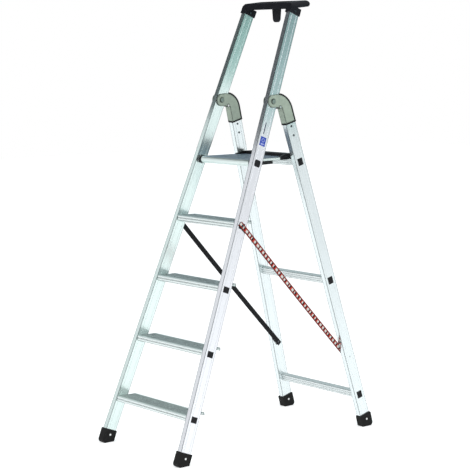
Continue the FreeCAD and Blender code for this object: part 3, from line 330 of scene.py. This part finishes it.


# The three bar metals differ only in tint, as painted reflection: greener on the left stile, bluer
# on the right one, teal-grey on the rear legs.
left_metal = bar_metal("left_bar_metal", FRONT_LEAN, middle_of("pivot_bush_left"),
                       STILE_HALF_DEPTH, (0.78, 0.89, 0.87))
right_metal = bar_metal("right_bar_metal", FRONT_LEAN, middle_of("pivot_bush_right"),
                        STILE_HALF_DEPTH, (0.87, 0.88, 0.92))
rear_metal = bar_metal("rear_bar_metal", REAR_LEAN, middle_of("leg_rivets"),
                       LEG_HALF_DEPTH, (0.82, 0.88, 0.89))
print("bar metals", left_metal.name, right_metal.name, rear_metal.name)

# %% [markdown]
# Treads are the same metal, and shoes scuff the ribbed tops, so noise darkens them in patches.
# The upward part of the surface normal picks out the tops, which get a painted reflection colour
# of their own: on low treads it is a little paler and greener than on high ones.

# %% Tread metal
LOW_TREAD, HIGH_TREAD = 0.15, 1.0


def tread_metal(name, tone, low_top_reflection, high_top_reflection):
    """Ribbed aluminium with lines across the ladder and tops in painted reflection colours,
    scuffed darker.
    """
    finish = Finish(name)
    lines = finish.noise(finish.place(0, (3, 420, 420)), 1.0, 4)
    scuffs = finish.noise(finish.place(0, (34, 90, 90)), 1.0, 5)
    upward = finish.axis(finish.node("NewGeometry", output="Normal"), "Z")
    # Painted reflection: faces that point up get their own colour, which changes with height.
    tops = finish.node("MapRange", {"interpolation_type": "SMOOTHSTEP"},
                       {"Value": upward, "From Min": 0.75, "From Max": 0.98})
    height = finish.node("MapRange", None, {"Value": finish.axis(finish.place(), "Z"),
                                            "From Min": LOW_TREAD, "From Max": HIGH_TREAD})
    plain = finish.mix(lines, colour(*[c * 0.9 for c in tone]), colour(*tone))
    painted_top_reflection = finish.mix(height, colour(*low_top_reflection), colour(*high_top_reflection))
    scuffed_reflection = finish.mix(scuffs * 0.7, painted_top_reflection, colour(*[c * 0.55 for c in high_top_reflection]))
    faces = finish.mix(tops, plain, scuffed_reflection)
    # Painted shade: a thin dark line along every sharp edge of the tread.
    edged = finish.mix(finish.edges(0.0040) * 0.95, faces, PAINTED_EDGE_SHADE)
    relief = lines * 0.6 + scuffs * 0.4
    finish.set(Base_Color=edged, Metallic=0.85, Roughness=scuffs * 0.25 + lines * 0.08 + 0.24,
               Normal=finish.bump(relief, 0.14, 0.0004, finish.softened(0.0008)))
    return finish.material


# The top colours are painted reflections: pale green on the steps, dark blue on the platform deck.
step_metal = tread_metal("tread_metal", (0.78, 0.84, 0.83),
                         (0.92, 1.0, 0.93), (0.78, 0.90, 0.93))
deck_metal = tread_metal("deck_metal", (0.74, 0.82, 0.80),
                         (0.36, 0.45, 0.58), (0.32, 0.42, 0.56))
rung_metal = tread_metal("rung_metal", (0.78, 0.83, 0.83),
                         (0.82, 0.88, 0.88), (0.74, 0.82, 0.82))
print("tread metals", step_metal.name, deck_metal.name, rung_metal.name)

# %% [markdown]
# The hinges are castings: matt, slightly green-grey and pebbled by the mould. Two sizes of noise
# feed the bump, one for the pebbles and one for slow unevenness. Painted shade draws a dark
# ring round the pivot pin and round the stop screw's recess, and a dark line along the corners.

# %% Cast metal
# Rings of painted shade: the pin they circle, then their inner and outer radius.
PAINTED_SHADE_RINGS = [("pivot_pin_left", 0.008, 0.0115), ("stop_screws", 0.004, 0.0085)]


def cast_metal(name, tone):
    """Pebbled cast metal with a ring of painted shade round each pin, from an inner to an outer
    radius.
    """
    finish = Finish(name)
    pebbles = finish.noise(finish.place(), 900.0, 3)
    waves = finish.noise(finish.place(), 45.0, 3)
    base = finish.mix(waves, colour(*[c * 0.70 for c in tone]),
                      colour(*[c * 1.2 for c in tone]))
    # Painted shade: a dark line along the corners, and below, a dark ring round each pin.
    painted_shade = finish.edges(0.0055) * 0.95
    for pin, inner, outer in PAINTED_SHADE_RINGS:
        place = middle_of(pin)
        sideways = finish.node("Mapping", {"vector_type": "POINT"},
                               {"Vector": finish.node("TexCoord", output="Object"),
                                "Location": (0, -place.y, -place.z), "Scale": (0, 1, 1)})
        reach = finish.node("VectorMath", {"operation": "LENGTH"}, {0: sideways}, "Value")
        painted_shade = painted_shade + (reach > inner) * (reach < outer) * (0.45 + waves * 0.5)
    relief = pebbles * 0.7 + waves * 0.3
    # The near-black colour mixed in here is the painted shade.
    finish.set(Base_Color=finish.mix(finish.clamp(painted_shade), base, colour(0.035, 0.045, 0.04)),
               Metallic=0.35, Roughness=waves * 0.2 + 0.45,
               Normal=finish.bump(relief, 0.35, 0.0006, finish.softened(0.0015)))
    return finish.material


hinge_metal = cast_metal("hinge_cast_metal", (0.34, 0.40, 0.33))
print("cast metal", hinge_metal.name)

# %% [markdown]
# Moulded black plastic is never pure black. It has a fine leathery grain, and slow noise makes
# it a little paler in patches.

# %% Black plastic
def moulded_plastic(name, tone, grain, roughness):
    """Black plastic or rubber with a grain of this scale."""
    finish = Finish(name)
    pits = finish.noise(finish.place(), grain, 2)
    rubbing = finish.noise(finish.place(), 28.0, 4)
    base = finish.mix(rubbing, colour(*tone), colour(*[c * 2.0 + 0.002 for c in tone]))
    finish.set(Base_Color=base, Roughness=rubbing * 0.2 + roughness, Specular_IOR_Level=0.16,
               Normal=finish.bump(pits, 0.28, 0.0005, finish.softened(0.0012)))
    return finish.material


tray_plastic = moulded_plastic("tray_plastic", (0.006, 0.006, 0.008), 1300.0, 0.36)
foot_rubber = moulded_plastic("foot_rubber", (0.004, 0.004, 0.004), 700.0, 0.55)
plug_plastic = moulded_plastic("plug_plastic", (0.005, 0.005, 0.006), 1500.0, 0.40)
print("plastics", tray_plastic.name, foot_rubber.name, plug_plastic.name)

# %% [markdown]
# Pins, screws and rivets are steel with a thin plating, which mottles as it ages.

# %% Plated steel
def plated_steel(name, tone):
    """Steel whose plating is mottled."""
    finish = Finish(name)
    mottle = finish.noise(finish.place(), 260.0, 4)
    base = finish.mix(mottle, colour(*[c * 0.8 for c in tone]), colour(*tone))
    finish.set(Base_Color=base, Metallic=1.0, Roughness=mottle * 0.2 + 0.25,
               Normal=finish.bump(mottle, 0.1, 0.0003, finish.softened(0.0006)))
    return finish.material


bright_steel = plated_steel("bright_rivet_steel", (0.76, 0.77, 0.76))
pin_steel = plated_steel("pin_steel", (0.30, 0.35, 0.32))
dark_steel = plated_steel("dark_rivet_steel", (0.10, 0.11, 0.12))
print("steels", bright_steel.name, pin_steel.name, dark_steel.name)

# %% [markdown]
# The sticker is a plain blue patch with a pale ring and bars, which mean nothing, and a thin dark
# stripe above it. The pattern is measured from the middle of the patch, so that middle is found
# first: the patch is the lowest 40 mm of the sticker, measured up the stile.

# %% Sticker
PATCH_HEIGHT = 0.040
up_stile = Vector((0, math.sin(front_turn), math.cos(front_turn)))
corners = [vertex.co for vertex in nodes["stile_label"].data.vertices]
foot = min(corner.dot(up_stile) for corner in corners)
patch = [corner for corner in corners if corner.dot(up_stile) < foot + PATCH_HEIGHT]
patch_middle = Vector([(min(axis) + max(axis)) / 2 for axis in zip(*patch)])


def sticker(name, middle):
    """A printed sticker, measured in millimetres from its middle."""
    finish = Finish(name)
    centre = Euler((front_turn, 0, 0)).to_matrix() @ middle
    spot = finish.place(front_turn, (1000, 1000, 1000), tuple(-centre))
    across = finish.axis(spot, "Y")
    along = finish.axis(spot, "Z")
    ring_spot = finish.node("CombineXYZ", None, {"X": 0.0, "Y": across, "Z": along - 5.0})
    from_ring = finish.node("VectorMath", {"operation": "LENGTH"}, {0: ring_spot}, "Value")
    ring = (from_ring < 8.0) * (from_ring > 6.0)
    bars = ((along + 10.0).size() < 1.4) * (across.size() < 10.0)
    short_bar = ((along + 14.0).size() < 0.9) * (across.size() < 6.0)
    stripe = along > 22.0
    pale = finish.clamp(ring + bars + short_bar)
    speckle = finish.noise(finish.place(), 500.0, 2)
    blue = finish.mix(stripe, colour(0.025, 0.06, 0.36), colour(0.008, 0.012, 0.05))
    finish.set(Base_Color=finish.mix(pale, blue, colour(0.42, 0.46, 0.72)),
               Roughness=speckle * 0.1 + 0.4, Specular_IOR_Level=0.25)
    return finish.material


label_print = sticker("label_print", patch_middle)
print("sticker middle", [round(v, 3) for v in patch_middle])

# %% [markdown]
# Each solid now gets its finish. Slots are reassigned by the start of the node's name.

# %% Give the solids their finishes
FINISHES = [
    ("stile_label", label_print), ("stile_left", left_metal), ("stile_right", right_metal),
    ("rear_leg_", rear_metal), ("tread_plugs", plug_plastic), ("axle_plugs", plug_plastic),
    ("rung_plugs", plug_plastic),
    ("tread_", step_metal), ("platform_deck", deck_metal), ("platform_axle", right_metal),
    ("platform_support_rung", rung_metal), ("lower_rung", rung_metal), ("middle_rung", rung_metal),
    ("platform_", plug_plastic), ("tool_tray", tray_plastic), ("hinge_casting_", hinge_metal),
    ("hinge_cover_", plug_plastic), ("pivot_bush_", plug_plastic), ("pivot_pin_", pin_steel),
    ("front_foot_rivets", bright_steel), ("rear_foot_rivets", bright_steel),
    ("front_foot_", foot_rubber), ("rear_foot_", foot_rubber), ("leg_rivets", dark_steel),
    ("stop_screws", bright_steel),
    ("tray_rivets", dark_steel), ("strap_rivets_", dark_steel),
]
for name, node in nodes.items():
    for start, material in FINISHES:
        if name.startswith(start):
            for slot in node.material_slots:
                slot.material = material
            if not node.material_slots:
                node.data.materials.append(material)
            break
starts = tuple(start for start, _ in FINISHES)
print("plain nodes", [name for name in nodes if not name.startswith(starts)])

# %% [markdown]
# Webbing is woven flat, so its pattern follows its own width and length. A strap is made as a
# flat ribbon with a map of its surface, and the weave is drawn on that map. The pattern's own
# width, length and pitches are in millimetres.

# %% Webbing finish
STRAP_WIDTH, STRAP_THICK, STRAP_END = 0.022, 0.0015, 0.016
PATTERN_WIDTH, PATTERN_LENGTH = 22.0, 866.0
WARP_PITCH, WEFT_PITCH, BLOCK_PITCH = 1.6, 2.2, 21.0


def webbing(name, printed):
    """Black woven tape; the printed one has blocks of red and white in no particular order."""
    finish = Finish(name)
    width = PATTERN_WIDTH
    surface = finish.node("UVMap")
    across = finish.axis(surface, "X") * width
    along = finish.axis(surface, "Y") * PATTERN_LENGTH
    warp = finish.node("Math", {"operation": "SINE"}, {0: across * (2 * math.pi / WARP_PITCH)})
    weft = finish.node("Math", {"operation": "SINE"}, {0: along * (2 * math.pi / WEFT_PITCH)})
    weave = warp * weft * 0.5 + 0.5
    flat = finish.node("CombineXYZ", None, {"X": across, "Y": along, "Z": 0.0})
    fuzz = finish.noise(flat, 0.9, 3)
    black = finish.mix(weave * 0.6 + fuzz * 0.4, colour(0.003, 0.003, 0.004),
                       colour(0.018, 0.018, 0.020))
    base = black
    if printed:
        block = along / BLOCK_PITCH
        count = finish.node("Math", {"operation": "FLOOR"}, {0: block})
        chance = finish.node("TexWhiteNoise", {"noise_dimensions": "1D"}, {"W": count})
        middle = (across - width / 2).size() < width * 0.24
        white = middle * (block.fraction() < chance * 0.5 + 0.2)
        red = middle * (block.fraction() > chance * 0.3 + 0.62)
        lines = ((across - width / 2).size() - width * 0.36).size() < 0.9
        inked = finish.mix(finish.clamp(red + lines), black, colour(0.50, 0.035, 0.02))
        base = finish.mix(white, inked, colour(0.62, 0.60, 0.56))
    true_normal = finish.node("NewGeometry", output="Normal")
    finish.set(Base_Color=base, Roughness=fuzz * 0.2 + 0.7, Specular_IOR_Level=0.12,
               Sheen_Weight=0.05, Normal=finish.bump(weave, 0.5, 0.0006, true_normal))
    return finish.material


plain_web = webbing("plain_webbing", False)
printed_web = webbing("printed_webbing", True)
print("webbing is", STRAP_WIDTH * 1000, "mm wide")

# %% [markdown]
# The straps stop the frames from sliding apart. Each one is screwed outside the front stile and
# inside the rear leg, so it crosses between them and turns a little as it goes. A plane is
# stretched to the strap's size, cut into short lengths and laid along its line.

# %% Straps
SPLAY = math.radians(3.45)
CLEAR, SAG, CUTS = 0.0010, 0.004, 60


def make_strap(name, side, stands_for, material):
    """A flat ribbon between its two fasteners, laid a little off the metal at both ends."""
    low, high = (Vector(corner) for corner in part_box(stands_for))
    inner, outer = sorted((abs(low.x), abs(high.x)))
    front, rear = middle_of("strap_rivets_front"), middle_of("strap_rivets_rear")
    start = Vector((side * (inner + CLEAR), front.y, front.z))
    end = Vector((side * (outer - CLEAR), rear.y, rear.z))
    run = (end - start).length
    length = run + 2 * STRAP_END
    bpy.ops.object.select_all(action="DESELECT")
    bpy.ops.mesh.primitive_plane_add(size=1, location=(0, 0, 0))
    strap = bpy.context.object
    strap.name = name
    bpy.ops.object.mode_set(mode="EDIT")
    bpy.ops.mesh.select_all(action="SELECT")
    bpy.ops.transform.resize(value=(STRAP_WIDTH, length, 1))
    bpy.ops.mesh.bisect(plane_co=(0, 0, 0), plane_no=(1, 0, 0))
    for step in range(1, CUTS):
        bpy.ops.mesh.select_all(action="SELECT")
        bpy.ops.mesh.bisect(plane_co=(0, length * (step / CUTS - 0.5), 0), plane_no=(0, 1, 0))
    bpy.ops.object.mode_set(mode="OBJECT")
    along = (end - start).normalized()
    wide = Vector((1, 0, 0)).cross(along).normalized()
    flat = (wide - Vector((side * 0.9 * math.sin(SPLAY) * wide.z, 0, 0))).normalized()
    for vertex in strap.data.vertices:
        share = (vertex.co.y + length / 2 - STRAP_END) / run
        sag = SAG * math.sin(math.pi * min(max(share, 0), 1))
        vertex.co = start + along * (share * run) + flat * vertex.co.x - Vector((0, 0, sag))
    thick = strap.modifiers.new("thickness", "SOLIDIFY")
    thick.thickness = STRAP_THICK
    thick.offset = 0
    soften = strap.modifiers.new("soft_edge", "BEVEL")
    soften.width = 0.0004
    soften.segments = 2
    bpy.ops.object.modifier_apply(modifier="thickness")
    bpy.ops.object.modifier_apply(modifier="soft_edge")
    bpy.ops.object.shade_smooth_by_angle(angle=math.radians(50))
    strap.data.materials.append(material)
    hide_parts(stands_for)
    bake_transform(strap)
    print(name, "run", round(run, 4), "flat length", round(length, 4))


make_strap("left_strap", -1, "strap_left", plain_web)
make_strap("right_strap", 1, "strap_right", printed_web)

# %% [markdown]
# The floor glows a little, so it reads as a clean white sweep. The cards are matt, and
# the blue-green one is paler towards its lower edge.

# %% Floor and card finishes
floor_finish = Finish("floor_finish")
drift = floor_finish.noise(floor_finish.place(), 2.0, 2)
floor_tone = floor_finish.mix(drift, colour(0.90, 0.90, 0.90), colour(0.94, 0.94, 0.94))
floor_finish.set(Base_Color=floor_tone, Roughness=0.9, Emission_Color=colour(1, 1, 1),
                 Emission_Strength=0.42)
floor.data.materials.append(floor_finish.material)
DARK_SHADE = colour(0.006, 0.018, 0.022)
PALE_TEAL, DEEP_TEAL = colour(0.46, 0.66, 0.62), colour(0.04, 0.17, 0.16)
for card, low_shade, high_shade in ((dark_card, DARK_SHADE, DARK_SHADE),
                                    (teal_card, PALE_TEAL, DEEP_TEAL)):
    card_finish = Finish(card.name + "_finish")
    up_card = card_finish.axis(card_finish.node("TexCoord", output="Object"), "Y") + 0.5
    card_finish.set(Base_Color=card_finish.mix(up_card, low_shade, high_shade), Roughness=0.9)
    card.data.materials.append(card_finish.material)
print("stage finished")
